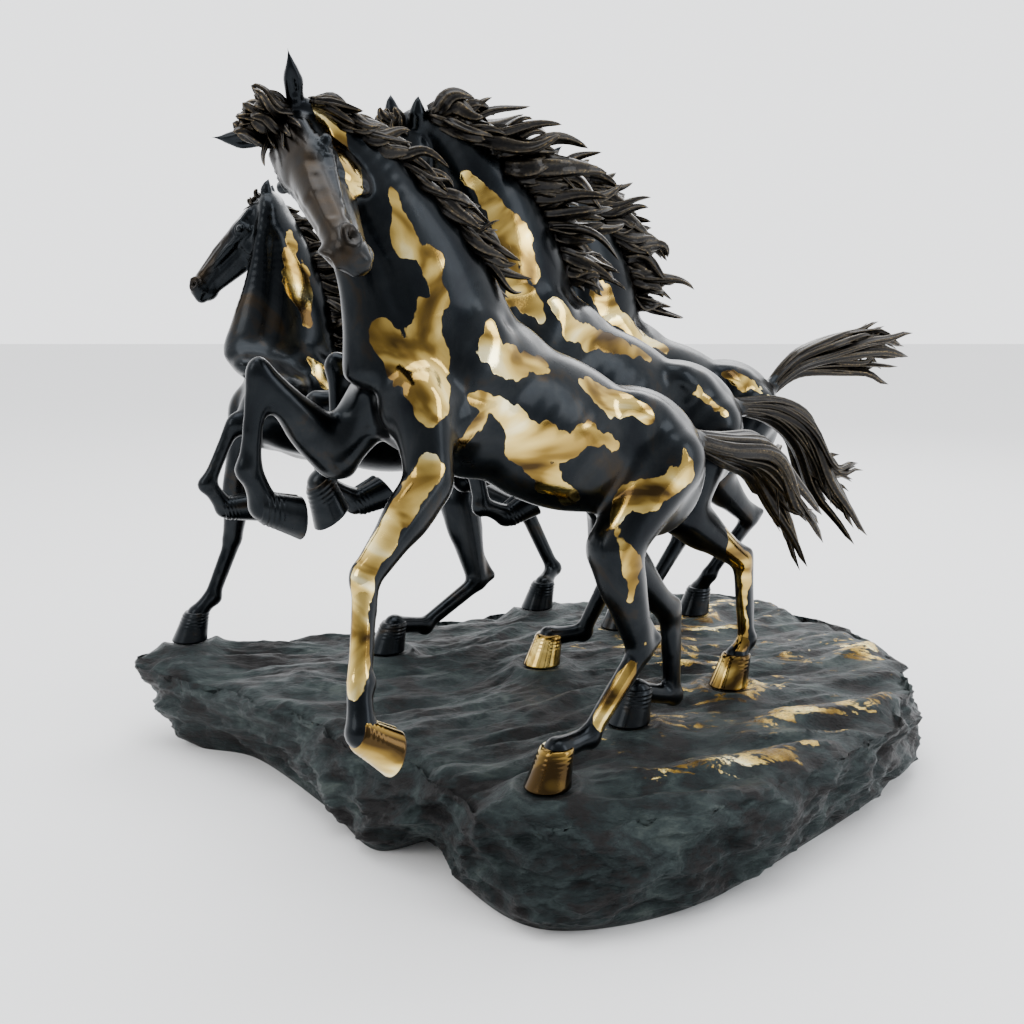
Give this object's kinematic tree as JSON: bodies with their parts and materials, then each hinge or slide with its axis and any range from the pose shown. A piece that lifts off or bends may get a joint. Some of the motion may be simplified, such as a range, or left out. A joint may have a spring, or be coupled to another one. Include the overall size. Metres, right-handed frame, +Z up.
{
  "type": "bronze horse statue",
  "caption": "Table-top bronze sculpture of a group of horses galloping side by side over a rock base, dark patina with polished gold areas.",
  "frame": {"origin": "centre of the group's bounding box in plan, on the plane the base rests on", "axes": "+X to the right as seen from the front of the group, +Y away from the front, +Z up; the horses head to -X and a little to -Y"},
  "size_m": [0.9732, 0.845, 0.6976],
  "materials": {
    "patinated_bronze": "glossy dark patina with polished gold areas",
    "brown_bronze": "satin dark brown patina",
    "green_rock_bronze": "semi-gloss dark green patina",
    "zinc_steel": "zinc plated"
  },
  "bodies": {
    "root": {"near_trunk": "patinated_bronze", "near_neck_and_head": "patinated_bronze", "near_left_fore_leg": "patinated_bronze", "near_right_fore_leg": "patinated_bronze", "near_left_hind_leg": "patinated_bronze", "near_right_hind_leg": "patinated_bronze", "near_mane": "brown_bronze", "near_tail": "brown_bronze", "near_left_hind_stud": "zinc_steel", "near_left_hind_nut": "zinc_steel", "near_right_hind_stud": "zinc_steel", "near_right_hind_nut": "zinc_steel", "second_trunk": "patinated_bronze", "second_neck_and_head": "patinated_bronze", "second_left_fore_leg": "patinated_bronze", "second_right_fore_leg": "patinated_bronze", "second_left_hind_leg": "patinated_bronze", "second_right_hind_leg": "patinated_bronze", "second_mane": "brown_bronze", "second_tail": "brown_bronze", "second_left_hind_stud": "zinc_steel", "second_left_hind_nut": "zinc_steel", "second_right_hind_stud": "zinc_steel", "second_right_hind_nut": "zinc_steel", "third_trunk": "patinated_bronze", "third_neck_and_head": "patinated_bronze", "third_left_fore_leg": "patinated_bronze", "third_right_fore_leg": "patinated_bronze", "third_left_hind_leg": "patinated_bronze", "third_right_hind_leg": "patinated_bronze", "third_mane": "brown_bronze", "third_tail": "brown_bronze", "third_left_hind_stud": "zinc_steel", "third_left_hind_nut": "zinc_steel", "third_right_hind_stud": "zinc_steel", "third_right_hind_nut": "zinc_steel", "far_trunk": "patinated_bronze", "far_neck_and_head": "patinated_bronze", "far_left_fore_leg": "patinated_bronze", "far_right_fore_leg": "patinated_bronze", "far_left_hind_leg": "patinated_bronze", "far_right_hind_leg": "patinated_bronze", "far_mane": "brown_bronze", "far_tail": "brown_bronze", "far_right_fore_stud": "zinc_steel", "far_right_fore_nut": "zinc_steel", "far_left_hind_stud": "zinc_steel", "far_left_hind_nut": "zinc_steel", "far_right_hind_stud": "zinc_steel", "far_right_hind_nut": "zinc_steel", "rock_base": "green_rock_bronze"}
  },
  "joints": []
}
